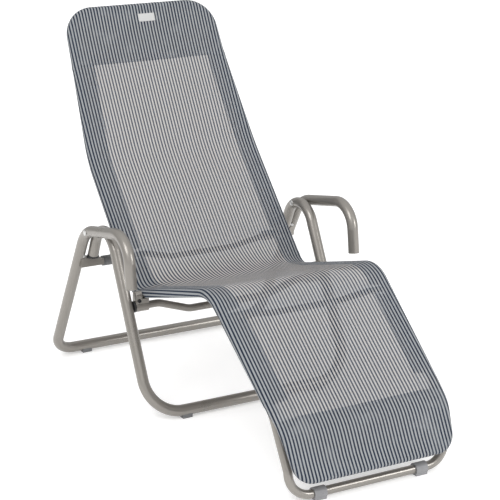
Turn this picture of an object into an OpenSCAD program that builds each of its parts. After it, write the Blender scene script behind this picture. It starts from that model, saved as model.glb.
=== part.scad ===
// Chaise lounge: a striped sling on a bent tube lying frame, hung between
// a front stand and a rear stand that are hinged together under the armrests.
// Lengths in mm. X is across, Y runs from the foot end to the head end, Z is up.
// Side profiles are [y, z] points measured from the rear floor bar, on the floor.

/* [Stand tube] */
// Outer diameter of both stand tubes
stand_d = 30; // [20:1:40]
// Wall of both stand tubes
stand_wall = 1.5; // [1:0.1:3]
// Middle of a floor bar above the floor
bar_z = 19; // [15:1:30]

/* [Rear stand] */
// Bend where the leg turns into the armrest
arm_back = [-230, 439];
// Bend at the front of the armrest
arm_front = [-492, 498];
// Lower end of the armrest's front curl
arm_end = [-512, 362];
// Bend radius between leg and armrest
arm_back_r = 105; // [60:1:140]
// Bend radius at the front of the armrest
arm_front_r = 70; // [50:1:90]
// Bend radius at the rear floor corners
rear_floor_r = 55; // [40:1:90]

/* [Front stand] */
// Front leg outside the lying frame's side tube at the seat, middle to middle
leg_out = 51; // [46:1:60]
// Lean of the front leg from upright
leg_lean = 27.7; // [20:0.1:35]
// Lean of the arch's tail from upright
tail_lean = 24.1; // [15:0.1:35]
// Middle of the arch
arch_mid = [-285.8, 378.6];
// Bend radius of the arch
arch_r = 68; // [55:1:90]
// Bend radius at the front floor corners
front_floor_r = 95; // [60:1:120]

/* [Fold joint] */
// Axis of the fold joint
fold_at = [-260, 443];
// Rivet shank
rivet_d = 8; // [6:0.5:12]
// Rivet head
rivet_head_d = 15; // [10:1:20]
// Height of a rivet head
rivet_head_h = 3; // [2:0.5:6]
// Gap between the two stands' tubes, taken up by the fold washer
fold_gap = 3; // [1:0.5:8]
// Outer diameter of the fold washer
fold_washer_d = 22; // [14:1:28]

/* [Stop arm] */
// Middle of the stop arm's underside
stop_at = [-188, 325.5];
// Height of the arm where it leaves the leg
stop_root_h = 26; // [20:1:36]
// Height of the arm at its bumper
stop_tip_h = 16; // [13:1:20]
// Depth of the arm
stop_depth = 22; // [18:1:28]
// Middle of a bumper
bumper_at = [-183, 331];
// Half distance to the outer end of a bumper
bumper_out = 268; // [255:1:285]
// Half distance to the inner end of a bumper
bumper_in = 237; // [225:1:250]
// Bumper diameter
bumper_d = 28; // [22:1:34]

/* [Lying frame tube] */
// Outer diameter of the lying frame
frame_d = 22; // [16:1:28]
// Wall of the lying frame
frame_wall = 1.5; // [1:0.1:3]
// Head end
head_at = [132, 959];
// Bend behind the shoulders
shoulder_at = [63, 830];
// Bend behind the waist
waist_at = [-87, 587];
// Bend at the seat
seat_at = [-371, 291];
// Bend at the knees
knee_at = [-756, 411];
// Bend at the calves
calf_at = [-1037, 202];
// Bend at the ankles
ankle_at = [-1103, 78];
// Floor bar under the feet
foot_bar_at = [-1114, 15];
// Half widths at the head, shoulders, waist and seat
upper_half = [220, 226.5, 249.5, 251];
// Half widths at the knees, calves, ankles and floor bar
lower_half = [238, 226, 221, 220];
// Bend radius at the head corners
head_r = 75; // [50:1:100]
// Bend radius at shoulders and waist
back_r = 470; // [200:10:700]
// Bend radius at the seat
seat_r = 50; // [40:1:70]
// Bend radius at the knees
knee_r = 90; // [60:1:130]
// Bend radius at the calves
calf_r = 90; // [50:1:130]
// Bend radius at the ankles
ankle_r = 25; // [22:1:30]
// Bend radius at the floor corners
foot_r = 58; // [40:1:62]
// Length of the straight splice inside the two halves
splice_l = 70; // [40:1:76]
// Distance of the split from the seat bend
split_at = 72; // [68:1:110]

/* [Foot bow] */
// Outer diameter of the bow that holds the cover's foot end
bow_d = 14; // [10:1:18]
// Bend of the bow
bow_bend = [-1087, 170];
// Foot end of the bow
bow_end = [-1145, 66];
// Bow outside the calves' tube at its bend, and outside the floor bar's corner at its end
bow_out = [2, -8];
// Bend radius in the side of the bow
bow_side_r = 130; // [80:1:160]
// Bend radius at the bow's corners
bow_corner_r = 45; // [30:1:60]

/* [Crossbars] */
// Seat crossbar diameter
seat_bar_d = 20; // [16:1:24]
// Drop in the middle of the seat crossbar
seat_bar_drop = 30; // [0:1:60]
// Lumbar and knee crossbar diameter
thin_bar_d = 16; // [12:1:20]
// Lumbar crossbar, on the line of the back
lumbar_y = -293; // [-330:1:-200]
// Set back in the middle of the lumbar crossbar
lumbar_drop = 45; // [0:1:60]
// Knee crossbar, on the line of the calves
knee_bar_y = -815; // [-900:1:-800]
// Set back in the middle of the knee crossbar
knee_drop = 20; // [0:1:40]

/* [Recline joint] */
// Axis of the recline joint
recline_at = [-416, 274];
// Bolt shank
bolt_d = 8; // [6:0.5:12]
// Washer between leg and bracket
pivot_washer_d = 30; // [20:1:36]
// Gap between leg and bracket, taken up by the washer
pivot_gap = 6; // [3:0.5:8]
// Bracket boss diameter
boss_d = 29; // [26:1:34]
// Half distance to the inner end of a boss
boss_in = 244; // [242:1:246]
// Depth of the bar's socket in the boss
socket_l = 23; // [15:1:28]
// Bracket width, front to back
bracket_w = 22; // [16:1:28]
// Bracket screw shank
screw_d = 5; // [4:0.5:6]
// Bracket screw head
screw_head_d = 10; // [8:0.5:12]

/* [Feet] */
// Width of a stand pad, front to back
pad_w = 26; // [18:1:28]
// Length of a stand pad
pad_l = 28; // [20:1:60]
// Middle of the rear pads from the centre line
rear_pad_x = 240; // [150:1:260]
// Middle of the front pads from the centre line
front_pad_x = 200; // [120:1:204]
// Middle of the foot clips from the centre line
clip_x = 143; // [80:1:150]
// Length of a foot clip
clip_l = 33; // [20:1:50]

/* [Cover] */
// Thickness of the sling
cloth_t = 1.2; // [0.8:0.1:2]
// Space between tube and sling
cloth_gap = 0.8; // [0.6:0.1:1.2]
// Sag across the middle
cloth_sag = 5; // [0:0.5:8]
// Label width
label_w = 52; // [30:1:80]
// Label height
label_h = 30; // [15:1:50]
// Label position across
label_x = 14; // [-60:1:60]
// Label distance below the head end
label_down = 33; // [20:1:80]

/* [Hidden] */
$fn = 32;
eps = 0.02;
fit = 0.05;
// Overrun of cuts
overrun = 1;
// Straight runs stop this short of a bend, and a ball this much fuller joins the two
bend_gap = 0.3;
bend_full = 0.3;
// Distance from the rear floor bar to the middle of the whole depth
mid_y = 505.5;
stand_r = stand_d / 2;
// Half distances between the legs of the front stand and of the rear stand
front_half = upper_half[3] + leg_out;
rear_half = front_half + stand_d + fold_gap;
// Half widths at the bow's bend and end
bow_half = [lower_half[1] + bow_out[0], lower_half[3] + bow_out[1]];
stand_in = stand_d - 2 * stand_wall;
frame_r = frame_d / 2;
frame_in = frame_d - 2 * frame_wall;
rear_floor_at = [0, bar_z];
metal = [0.66, 0.64, 0.6];
zinc = [0.78, 0.78, 0.78];
black = [0.08, 0.08, 0.08];
grey = [0.25, 0.26, 0.28];

function unit(v) = v / norm(v);
function mix(a, b, t) = a + (b - a) * t;
// Point of the side view at half width h, on the left
function at(p, h) = [-h, p[0] + mid_y, p[1]];

// Bend helpers
function turn(a, b, c) = acos(max(-1, min(1, unit(b - a) * unit(c - b))));
function setback(a, b, c, r) = r * tan(turn(a, b, c) / 2);

module place(o, x, y, z) {
    multmatrix([[x[0], y[0], z[0], o[0]], [x[1], y[1], z[1], o[1]], [x[2], y[2], z[2], o[2]]])
        children();
}

// Straight rod from a to b
module rod(a, b, d) {
    z = unit(b - a);
    x = unit(cross(abs(z[0]) < 0.9 ? [1, 0, 0] : [0, 1, 0], z));
    place(a, x, cross(z, x), z)
        cylinder(h = norm(b - a), d = d);
}

// Piece of a ring that rounds the corner a b c
module elbow(a, b, c, r, d) {
    u = unit(a - b);
    v = unit(c - b);
    w = turn(a, b, c);
    p = b + u * r * tan(w / 2);
    o = b + unit(u + v) * r / cos(w / 2);
    x = unit(p - o);
    place(o, x, -u, cross(x, -u))
        rotate_extrude(angle = w)
            translate([r, 0])
                circle(d = d);
    ball(p, u, d + bend_full);
    ball(b + v * r * tan(w / 2), v, d + bend_full);
}

// Ball at o, turned so that its axis is z
module ball(o, z, d) {
    x = unit(cross(abs(z[0]) < 0.9 ? [1, 0, 0] : [0, 1, 0], z));
    place(o, x, cross(z, x), z)
        sphere(d = d, $fn = 16);
}

// Rod bent through the points p, with one radius for each inner point
module bent_rod(p, r, d) {
    n = len(p);
    for (i = [0 : n - 2]) {
        t = unit(p[i + 1] - p[i]);
        s0 = i > 0 ? setback(p[i - 1], p[i], p[i + 1], r[i - 1]) + bend_gap : 0;
        s1 = i < n - 2 ? setback(p[i], p[i + 1], p[i + 2], r[i]) + bend_gap : 0;
        rod(p[i] + t * s0, p[i + 1] - t * s1, d);
    }
    for (i = [1 : n - 2])
        elbow(p[i - 1], p[i], p[i + 1], r[i - 1], d);
}

// The same points with both ends drawn out by e
function drawn_out(p, e) = [for (i = [0 : len(p) - 1])
    i == 0 ? p[0] + unit(p[0] - p[1]) * e
    : i == len(p) - 1 ? p[i] + unit(p[i] - p[i - 1]) * e
    : p[i]];

module bent_tube(p, r, d, wall) {
    difference() {
        bent_rod(p, r, d);
        bent_rod(drawn_out(p, overrun), r, d - 2 * wall);
    }
}

function mirrored(p) = [for (i = [len(p) - 1 : -1 : 0]) [-p[i][0], p[i][1], p[i][2]]];

// One of a pair: s is -1 on the left, 1 on the right
module side(s) {
    if (s < 0)
        children();
    else
        mirror([1, 0, 0])
            children();
}

// Cylinder across the left side, from half width a in to half width b
module across(p, a, b, d) {
    translate([-a, p[0] + mid_y, p[1]])
        rotate([0, 90, 0])
            cylinder(h = a - b, d = d);
}

// Block on the left side, from half width a in to half width b
module block(a, b, y0, y1, z0, z1) {
    translate([-a, y0 + mid_y, z0])
        cube([a - b, y1 - y0, z1 - z0]);
}

// The two straight sides of the front stand's arch meet in a point above it
leg_up = [sin(leg_lean), cos(leg_lean)];
tail_down = [sin(tail_lean), -cos(tail_lean)];
arch_side = arch_mid + [cos(tail_lean), sin(tail_lean)] * arch_r;
arch_top = arch_side - tail_down * arch_r * tan((180 - leg_lean - tail_lean) / 2);
front_floor_at = [arch_top[0] - leg_up[0] * (arch_top[1] - bar_z) / leg_up[1], bar_z];
// The tail is cut square above the level rim of its plug, which rests on the stop arm
plug_l = 14;
plug_head = 2.5;
stop_clear = 0.6;
tail_land = 0.6;
tail_rim_d = stand_d + 4;
tail_rim_h = 4;
tail_rim_z = stop_at[1] + stop_root_h + stop_clear;
tail_end_z = tail_rim_z + tail_rim_h + stand_r * sin(tail_lean) + tail_land;
tail_end = on_tail(tail_end_z);

// Point of the tail's middle line at height z
function on_tail(z) = arch_side + tail_down * (z - arch_side[1]) / tail_down[1];

// Tube paths, from the left end round to the right end
rear_left = [at(arm_end, rear_half), at(arm_front, rear_half), at(arm_back, rear_half),
    at(rear_floor_at, rear_half)];
rear_path = concat(rear_left, mirrored(rear_left));
rear_bends = [arm_front_r, arm_back_r, rear_floor_r, rear_floor_r, arm_back_r, arm_front_r];
front_left = [at(tail_end, front_half), at(arch_top, front_half), at(front_floor_at, front_half)];
front_path = concat(front_left, mirrored(front_left));
front_bends = [arch_r, front_floor_r, front_floor_r, arch_r];

// The lying frame is split on the straight between seat and knees
seat_pt = at(seat_at, upper_half[3]);
knee_pt = at(knee_at, lower_half[0]);
seat_line = unit(knee_pt - seat_pt);
split_pt = seat_pt + seat_line * split_at;
back_left = [split_pt, seat_pt, at(waist_at, upper_half[2]), at(shoulder_at, upper_half[1]),
    at(head_at, upper_half[0])];
back_path = concat(back_left, mirrored(back_left));
back_bends = [seat_r, back_r, back_r, head_r, head_r, back_r, back_r, seat_r];
leg_left = [split_pt + seat_line * 2 * fit, knee_pt, at(calf_at, lower_half[1]),
    at(ankle_at, lower_half[2]), at(foot_bar_at, lower_half[3])];
leg_path = concat(leg_left, mirrored(leg_left));
leg_bends = [knee_r, calf_r, ankle_r, foot_r, foot_r, ankle_r, calf_r, knee_r];
bow_left = [at(calf_at, lower_half[1]), at(bow_bend, bow_half[0]), at(bow_end, bow_half[1])];
bow_path = concat(bow_left, mirrored(bow_left));
bow_bends = [bow_side_r, bow_corner_r, bow_corner_r, bow_side_r];

// Stands
module rear_stand() {
    color(metal)
        difference() {
            bent_tube(rear_path, rear_bends, stand_d, stand_wall);
            for (s = [-1, 1])
                side(s) {
                    across(fold_at, rear_half + stand_d, rear_half - stand_d, rivet_d + 2 * fit);
                    rod(stop_rivet_at(stand_r / 2), stop_rivet_at(stand_r + overrun), stop_rivet_d + 2 * fit);
                }
        }
}

module front_stand() {
    color(metal)
        difference() {
            bent_tube(front_path, front_bends, stand_d, stand_wall);
            for (s = [-1, 1])
                side(s) {
                    across(fold_at, front_half + stand_d, front_half - stand_d, rivet_d + 2 * fit);
                    across(recline_at, front_half, front_half - stand_d, bolt_d + 2 * fit);
                }
        }
}

// Plug in the tube end e, whose outward direction is n
module plug(e, n, head_l) {
    rod(e - n * plug_l, e + n * head_l / 2, stand_in - 2 * fit);
    rod(e + n * fit, e + n * head_l, stand_d);
}

module armrest_plug(s) {
    color(metal)
        side(s)
            plug(at(arm_end, rear_half), unit(at(arm_end, 0) - at(arm_front, 0)), plug_head);
}

// A wedge under the tube's square end, with a level rim
module tail_plug(s) {
    rim = at(on_tail(tail_rim_z + tail_rim_h / 2), front_half);
    color(black)
        side(s) {
            difference() {
                plug(at(tail_end, front_half), [0, tail_down[0], tail_down[1]], stand_d);
                translate([rim[0] - stand_d, rim[1] - stand_d, tail_rim_z - 2 * stand_d])
                    cube([2 * stand_d, 2 * stand_d, 2 * stand_d + tail_rim_h / 2]);
            }
            translate([rim[0], rim[1], tail_rim_z])
                cylinder(h = tail_rim_h, d = tail_rim_d);
        }
}

// Fold joint; the pin's shank goes this far into its heads
pin_root = 1;

module fold_pin(s) {
    out = rear_half + stand_r + fit;
    in = front_half - stand_r - fit;
    color(zinc)
        side(s) {
            across(fold_at, out + pin_root, in - pin_root, rivet_d);
            across(fold_at, out + rivet_head_h, out, rivet_head_d);
            across(fold_at, in, in - rivet_head_h, rivet_head_d);
        }
}

module fold_washer(s) {
    color(black)
        side(s)
            difference() {
                across(fold_at, rear_half - stand_r - fit, front_half + stand_r + fit, fold_washer_d);
                across(fold_at, rear_half, front_half, rivet_d + 2 * fit);
            }
}

// Stop arm: a level box coped to the leg, with a spigot for its bumper
stop_spigot = 11;
spigot_short = 8;
spigot_land = 0.5;
spigot_root = 1;
stop_step_clear = 2;
stop_step_x = front_half - tail_rim_d / 2 - stop_step_clear;
stop_step_l = 7;

module stop_arm(s) {
    top = stop_at[1] + stop_root_h;
    tip = stop_at[1] + stop_tip_h;
    color(metal)
        side(s)
            difference() {
                union() {
                    translate([0, stop_at[0] + mid_y + stop_depth / 2, 0])
                        rotate([90, 0, 0])
                            linear_extrude(height = stop_depth)
                                polygon([[-rear_half, top], [-rear_half, stop_at[1]],
                                    [-bumper_out, stop_at[1]], [-bumper_out, tip],
                                    [stop_step_l - stop_step_x, tip], [-stop_step_x, top]]);
                    block(bumper_out + spigot_root, bumper_in + spigot_short,
                        bumper_at[0] - stop_spigot / 2, bumper_at[0] + stop_spigot / 2,
                        bumper_at[1] - stop_spigot / 2, bumper_at[1] + stop_spigot / 2);
                }
                rod(at(arm_back, rear_half), at(rear_floor_at, rear_half), stand_d + 2 * eps);
            }
}

// Rivet through the leg, just above the stop arm
leg_axis = unit(arm_back - rear_floor_at);
stop_rivet_d = 5;
stop_rivet_head = 9;
stop_rivet_h = 2;
stop_rivet_up = 12.5;
stop_rivet_turn = 60;
stop_rivet_z = stop_at[1] + stop_root_h + stop_rivet_up;
stop_rivet_n = [cos(stop_rivet_turn), -leg_axis[1] * sin(stop_rivet_turn),
    leg_axis[0] * sin(stop_rivet_turn)];
stop_rivet_l = 5;

// Point at distance r from the rear leg's axis, on its inner front side
function stop_rivet_at(r) =
    at(rear_floor_at + leg_axis * (stop_rivet_z - bar_z) / leg_axis[1], rear_half)
    + stop_rivet_n * r;

module stop_rivet(s) {
    color(zinc)
        side(s) {
            rod(stop_rivet_at(stand_r - stop_rivet_l), stop_rivet_at(stand_r + stop_rivet_h / 2),
                stop_rivet_d);
            rod(stop_rivet_at(stand_r + fit), stop_rivet_at(stand_r + stop_rivet_h), stop_rivet_head);
        }
}

// Bumper: a collar, a groove and a body with a rounded inner end
bumper_collar = 4;
bumper_groove = 2;
bumper_waist_d = bumper_d - 3;
bumper_edge = 1.5;
bumper_round = [4, 5];
seam = 0.1;

// Piece of a bumper between half widths a and b, from diameter d1 to d2
module taper(a, b, d1, d2) {
    translate([-a, bumper_at[0] + mid_y, bumper_at[1]])
        rotate([0, 90, 0])
            cylinder(h = a - b, d1 = d1, d2 = d2);
}

module stop_bumper(s) {
    out = bumper_out - fit;
    neck = out - bumper_collar;
    body = neck - bumper_groove;
    round_x = bumper_in + bumper_round[0];
    half = stop_spigot / 2 + fit;
    color(grey)
        side(s)
            difference() {
                union() {
                    taper(out, out - bumper_edge, bumper_d - 2 * bumper_edge, bumper_d - seam);
                    across(bumper_at, out - bumper_edge + seam, neck, bumper_d);
                    across(bumper_at, neck + seam, body - seam, bumper_waist_d);
                    across(bumper_at, body, round_x - seam, bumper_d);
                    taper(round_x, bumper_in, bumper_d - seam, bumper_d - 2 * bumper_round[1]);
                }
                block(bumper_out, bumper_in + spigot_short - spigot_land,
                    bumper_at[0] - half, bumper_at[0] + half, bumper_at[1] - half, bumper_at[1] + half);
            }
}

// Pad under a floor bar, centred at half width x
module pad(p, x) {
    color(grey)
        difference() {
            block(x + pad_l / 2, x - pad_l / 2, p[0] - pad_w / 2, p[0] + pad_w / 2, 0, p[1] - stand_r / 2);
            across(p, x + pad_l, x - pad_l, stand_d + 2 * fit);
        }
}

module rear_foot(s) {
    side(s)
        pad(rear_floor_at, rear_pad_x);
}

module front_foot(s) {
    side(s)
        pad(front_floor_at, front_pad_x);
}

// Recline joint
bracket_out = front_half - stand_r - pivot_gap;
seat_share = (recline_at[0] - seat_at[0]) / (knee_at[0] - seat_at[0]);
side_half = mix(upper_half[3], lower_half[0], seat_share);
side_z = mix(seat_at[1], knee_at[1], seat_share);
plate_clear = 0.7;
plate_in = side_half + frame_r + cloth_gap + cloth_t + plate_clear;
cradle_below = 9;
cradle_z = side_z - cradle_below;
socket_end = boss_in + socket_l;
bar_play = 0.3;
bolt_in = 6;
bolt_head_d = 14;
bolt_head_h = 5;
bolt_end = socket_end - 2 * bar_play;
screw_up = 18;
screw_at = [(bracket_out + plate_in) / 2, recline_at[0] - bracket_w / 2, recline_at[1] + screw_up];
screw_head_h = 4;
screw_l = 16;
screw_play = 1;

module pivot_bolt(s) {
    color(black)
        side(s) {
            across(recline_at, front_half - bolt_d / 2, bolt_end - bolt_head_h / 2, bolt_d);
            across(recline_at, bolt_end, bolt_end - bolt_head_h, bolt_head_d);
        }
}

module pivot_washer(s) {
    color(black)
        side(s)
            difference() {
                across(recline_at, front_half - stand_r - fit, bracket_out + fit, pivot_washer_d);
                across(recline_at, front_half, bracket_out - overrun, bolt_d + 2 * fit);
            }
}

module pivot_bracket(s) {
    y0 = recline_at[0] - bracket_w / 2;
    y1 = recline_at[0] + bracket_w / 2;
    color(zinc)
        side(s)
            difference() {
                union() {
                    across(recline_at, bracket_out, boss_in, boss_d);
                    block(bracket_out, plate_in, y0, y1, recline_at[1], side_z);
                    across([recline_at[0], side_z], bracket_out, plate_in, bracket_w);
                    block(bracket_out - overrun, boss_in, y0, y1, recline_at[1], cradle_z);
                }
                rod(seat_pt - seat_line * bracket_w, split_pt + seat_line * bracket_w, frame_d + 2 * fit);
                across(recline_at, socket_end, boss_in - overrun, seat_bar_d + 2 * fit);
                across(recline_at, bracket_out + overrun, boss_in + overrun, bolt_d + 2 * fit);
                translate([-screw_at[0], screw_at[1] + mid_y - overrun, screw_at[2]])
                    rotate([-90, 0, 0])
                        cylinder(h = screw_l + screw_play + overrun, d = screw_d + 2 * fit);
            }
}

module bracket_screw(s) {
    color(black)
        side(s)
            translate([-screw_at[0], screw_at[1] + mid_y, screw_at[2]]) {
                rotate([90, 0, 0])
                    translate([0, 0, fit])
                        cylinder(h = screw_head_h, d = screw_head_d);
                rotate([-90, 0, 0])
                    translate([0, 0, -screw_head_h / 2])
                        cylinder(h = screw_l + screw_head_h / 2, d = screw_d);
            }
}

// Lying frame
module back_frame() {
    color(metal)
        bent_tube(back_path, back_bends, frame_d, frame_wall);
}

module leg_frame() {
    color(metal)
        bent_tube(leg_path, leg_bends, frame_d, frame_wall);
}

module frame_splice(s) {
    a = split_pt - seat_line * splice_l / 2;
    b = split_pt + seat_line * splice_l / 2;
    color(zinc)
        side(s)
            difference() {
                rod(a, b, frame_in - 2 * fit);
                rod(a - seat_line * overrun, b + seat_line * overrun, frame_in - 2 * frame_wall);
            }
}

module foot_bow() {
    color(metal)
        difference() {
            bent_tube(bow_path, bow_bends, bow_d, frame_wall);
            bent_rod(leg_path, leg_bends, frame_d + 2 * eps);
        }
}

// Crossbar path: straight ends, and a middle set off by [y, z] drop
function bar_path(p, end_x, bend_x, flat_x, drop) =
    let (l = [at(p, end_x), at(p, bend_x), at(p + drop, flat_x)])
    concat(l, mirrored(l));
bar_bend_r = 60;
bar_bends = [bar_bend_r, bar_bend_r, bar_bend_r, bar_bend_r];
seat_bend_x = 210;
seat_flat_x = 120;
thin_bend_x = 190;
knee_bend_x = 180;
thin_flat_x = 95;
// The thin bars' ends go this far past the middle of the side tube's inner wall
lumbar_root = 9;
knee_root = 7;
back_line = unit(seat_at - waist_at);
calf_line = unit(calf_at - knee_at);
lumbar_at = waist_at + back_line * (lumbar_y - waist_at[0]) / back_line[0];
knee_bar_at = knee_at + calf_line * (knee_bar_y - knee_at[0]) / calf_line[0];

module seat_crossbar() {
    color(metal)
        bent_tube(bar_path(recline_at, socket_end - bar_play, seat_bend_x, seat_flat_x,
            [0, -seat_bar_drop]),
            bar_bends, seat_bar_d, frame_wall);
}

module lumbar_crossbar() {
    drop = [-back_line[1], back_line[0]] * lumbar_drop;
    color(metal)
        difference() {
            bent_tube(bar_path(lumbar_at, upper_half[3] - frame_r + lumbar_root, thin_bend_x,
                thin_flat_x, drop),
                bar_bends, thin_bar_d, frame_wall);
            bent_rod(back_path, back_bends, frame_d + 2 * eps);
        }
}

module knee_crossbar() {
    drop = [-calf_line[1], calf_line[0]] * knee_drop;
    color(metal)
        difference() {
            bent_tube(bar_path(knee_bar_at, lower_half[0] - frame_r + knee_root, knee_bend_x,
                thin_flat_x, drop),
                bar_bends, thin_bar_d, frame_wall);
            bent_rod(leg_path, leg_bends, frame_d + 2 * eps);
        }
}

clip_base = 24;
clip_low = 0.2;
clip_shoulder = 0.5;

module foot_clip(s) {
    color(grey)
        side(s)
            difference() {
                union() {
                    across(foot_bar_at, clip_x + clip_l / 2, clip_x - clip_l / 2,
                        2 * (foot_bar_at[1] - clip_low));
                    block(clip_x + clip_l / 2 - clip_shoulder, clip_x - clip_l / 2 + clip_shoulder,
                        foot_bar_at[0] - clip_base / 2, foot_bar_at[0] + clip_base / 2,
                        0, foot_bar_at[1]);
                }
                across(foot_bar_at, clip_x + clip_l, clip_x - clip_l, frame_d + 2 * fit);
            }
}

// Cover. A row is [point, tangent toward the feet, half width, tube radius, corner angle, sag].
// Rows of a bend at b between a and c, each [y, z, half width]
function bend_rows(a, b, c, r, n, tube) =
    let (p = [a[0], a[1]], q = [b[0], b[1]], w = [c[0], c[1]])
    let (u = unit(p - q), v = unit(w - q), t = turn(p, q, w), s = r * tan(t / 2))
    let (o = q + unit(u + v) * r / cos(t / 2), e = unit(q + u * s - o))
    let (ha = mix(b[2], a[2], s / norm(p - q)), hc = mix(b[2], c[2], s / norm(w - q)))
    [for (i = [0 : n])
        let (f = i / n, k = t * f, d = e * cos(k) - u * sin(k))
        [o + d * r, -u * cos(k) - e * sin(k),
            ha * (1 - f) * (1 - f) + b[2] * 2 * f * (1 - f) + hc * f * f, tube, 0, cloth_sag]];

// Rows of a rounded end: e is the end, i the next bend inward, g is 1 at the head
function end_rows(e, i, r, n, tube, g) =
    let (p = [e[0], e[1]], q = [i[0], i[1]], u = unit(q - p))
    let (flare = atan((i[2] - e[2]) / norm(q - p)), x = e[2] - r * tan((90 - flare) / 2))
    [for (k = [0 : n])
        let (c = mix(flare, 90, g > 0 ? 1 - k / n : k / n))
        [p + u * r * (1 - sin(c)), u * g, x + r * cos(c), tube, c,
            cloth_sag * (1 - sin(c)) / (1 - sin(flare))]];

function wide(p, h) = [p[0], p[1], h];
head_w = wide(head_at, upper_half[0]);
shoulder_w = wide(shoulder_at, upper_half[1]);
waist_w = wide(waist_at, upper_half[2]);
seat_w = wide(seat_at, upper_half[3]);
knee_w = wide(knee_at, lower_half[0]);
calf_w = wide(calf_at, lower_half[1]);
bow_bend_w = wide(bow_bend, bow_half[0]);
bow_end_w = wide(bow_end, bow_half[1]);
bow_r = bow_d / 2;
// The last row on the frame, before the sling passes to the bow
calf_back = 22;
calf_row = [calf_at - calf_line * calf_back, calf_line,
    mix(lower_half[1], lower_half[0], calf_back / norm(calf_at - knee_at)), frame_r, 0, cloth_sag];
// The first row on the bow, still as wide as the frame
calf_past = 14;
bow_line = unit(bow_bend - calf_at);
bow_row = [calf_at + bow_line * calf_past, bow_line, frame_r - bow_r
    + mix(lower_half[1], bow_half[0], calf_past / norm(bow_bend - calf_at)), bow_r, 0, cloth_sag];
rows = concat(end_rows(head_w, shoulder_w, head_r, 9, frame_r, 1),
    bend_rows(head_w, shoulder_w, waist_w, back_r, 1, frame_r),
    bend_rows(shoulder_w, waist_w, seat_w, back_r, 2, frame_r),
    bend_rows(waist_w, seat_w, knee_w, seat_r, 6, frame_r),
    bend_rows(seat_w, knee_w, calf_w, knee_r, 6, frame_r),
    [calf_row, bow_row],
    bend_rows(calf_w, bow_bend_w, bow_end_w, bow_side_r, 3, bow_r),
    end_rows(bow_end_w, bow_bend_w, bow_corner_r, 6, bow_r, -1));
// Angles of the wrap round a tube, from its edge to the top
wrap = [102, 76, 50, 25, 0];
// Places between the tubes, as shares of the half width
middle_shares = [0.75, 0, -0.75];

// One side of a row: s is -1 left, 1 right, e the distance from the tube's surface
function wrap_point(w, s, a, e) =
    let (t = w[1], n = [t[1], -t[0]])
    let (k = w[4], m = (w[3] + e) * sin(a), toward = is_head(w) ? -1 : 1)
    let (p = w[0] + n * (w[3] + e) * cos(a) + t * toward * m * sin(k))
    [s * (w[2] + m * cos(k)), p[0] + mid_y, p[1]];
function is_head(w) = w[0][1] > waist_at[1];

function ring(w, e) =
    let (t = w[1], n = [t[1], -t[0]])
    concat([for (a = wrap) wrap_point(w, -1, a, e)],
        [for (x = middle_shares)
            let (p = w[0] + n * (w[3] + e - w[5] * (1 - x * x)))
            [-x * w[2], p[0] + mid_y, p[1]]],
        [for (i = [len(wrap) - 1 : -1 : 0]) wrap_point(w, 1, wrap[i], e)]);

module cover() {
    nw = len(wrap);
    m = 2 * nw + len(middle_shares);
    n = len(rows);
    pts = concat([for (w = rows) each ring(w, cloth_gap + cloth_t)],
        [for (w = rows) each ring(w, cloth_gap)]);
    k = n * m;
    last = (n - 1) * m;
    faces = concat(
        [for (i = [0 : n - 2], j = [0 : m - 2])
            let (a = i * m + j) [a, a + 1, a + m + 1, a + m]],
        [for (i = [0 : n - 2], j = [0 : m - 2])
            let (a = k + i * m + j) [a, a + m, a + m + 1, a + 1]],
        [for (i = [0 : n - 2])
            let (a = i * m) [a, a + m, k + a + m, k + a]],
        [for (i = [0 : n - 2])
            let (a = i * m + m - 1) [a, k + a, k + a + m, a + m]],
        [for (j = [0 : nw - 3])
            each end_faces([j, j + 1, m - 2 - j, m - 1 - j], last, k)],
        each_end(nw, m, last, k),
        [[0, k, k + m - 1, m - 1], [last, last + m - 1, k + last + m - 1, k + last]]);
    color([0.3, 0.34, 0.4])
        polyhedron(points = pts, faces = faces);
}

// The same strip over both ends, outside and inside
function end_faces(q, last, k) = [
    [for (i = [len(q) - 1 : -1 : 0]) q[i]],
    [for (i = q) last + i],
    [for (i = q) k + i],
    [for (i = [len(q) - 1 : -1 : 0]) k + last + q[i]]];
function each_end(nw, m, last, k) =
    end_faces([for (j = [nw - 2 : m - nw + 1]) j], last, k);

label_t = 0.6;

module name_label() {
    t = rows[0][1];
    down = [0, t[0], t[1]];
    up = cross([1, 0, 0], down);
    p = at(head_at, 0) + down * label_down - up * (frame_r + cloth_gap + cloth_t);
    color([0.93, 0.93, 0.92])
        place(p, [1, 0, 0], down, cross([1, 0, 0], down))
            translate([label_x - label_w / 2, -label_h / 2, 0])
                cube([label_w, label_h, label_t]);
}

rear_stand();
front_stand();
armrest_plug(-1);  // armrest_plug_left
armrest_plug(1);  // armrest_plug_right
tail_plug(-1);  // tail_plug_left
tail_plug(1);  // tail_plug_right
fold_pin(-1);  // fold_pin_left
fold_pin(1);  // fold_pin_right
fold_washer(-1);  // fold_washer_left
fold_washer(1);  // fold_washer_right
stop_arm(-1);  // stop_arm_left
stop_arm(1);  // stop_arm_right
stop_rivet(-1);  // stop_rivet_left
stop_rivet(1);  // stop_rivet_right
stop_bumper(-1);  // stop_bumper_left
stop_bumper(1);  // stop_bumper_right
rear_foot(-1);  // rear_foot_left
rear_foot(1);  // rear_foot_right
front_foot(-1);  // front_foot_left
front_foot(1);  // front_foot_right
pivot_bolt(-1);  // pivot_bolt_left
pivot_bolt(1);  // pivot_bolt_right
pivot_washer(-1);  // pivot_washer_left
pivot_washer(1);  // pivot_washer_right
pivot_bracket(-1);  // pivot_bracket_left
pivot_bracket(1);  // pivot_bracket_right
bracket_screw(-1);  // bracket_screw_left
bracket_screw(1);  // bracket_screw_right
back_frame();
leg_frame();
frame_splice(-1);  // frame_splice_left
frame_splice(1);  // frame_splice_right
foot_bow();
seat_crossbar();
lumbar_crossbar();
knee_crossbar();
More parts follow.
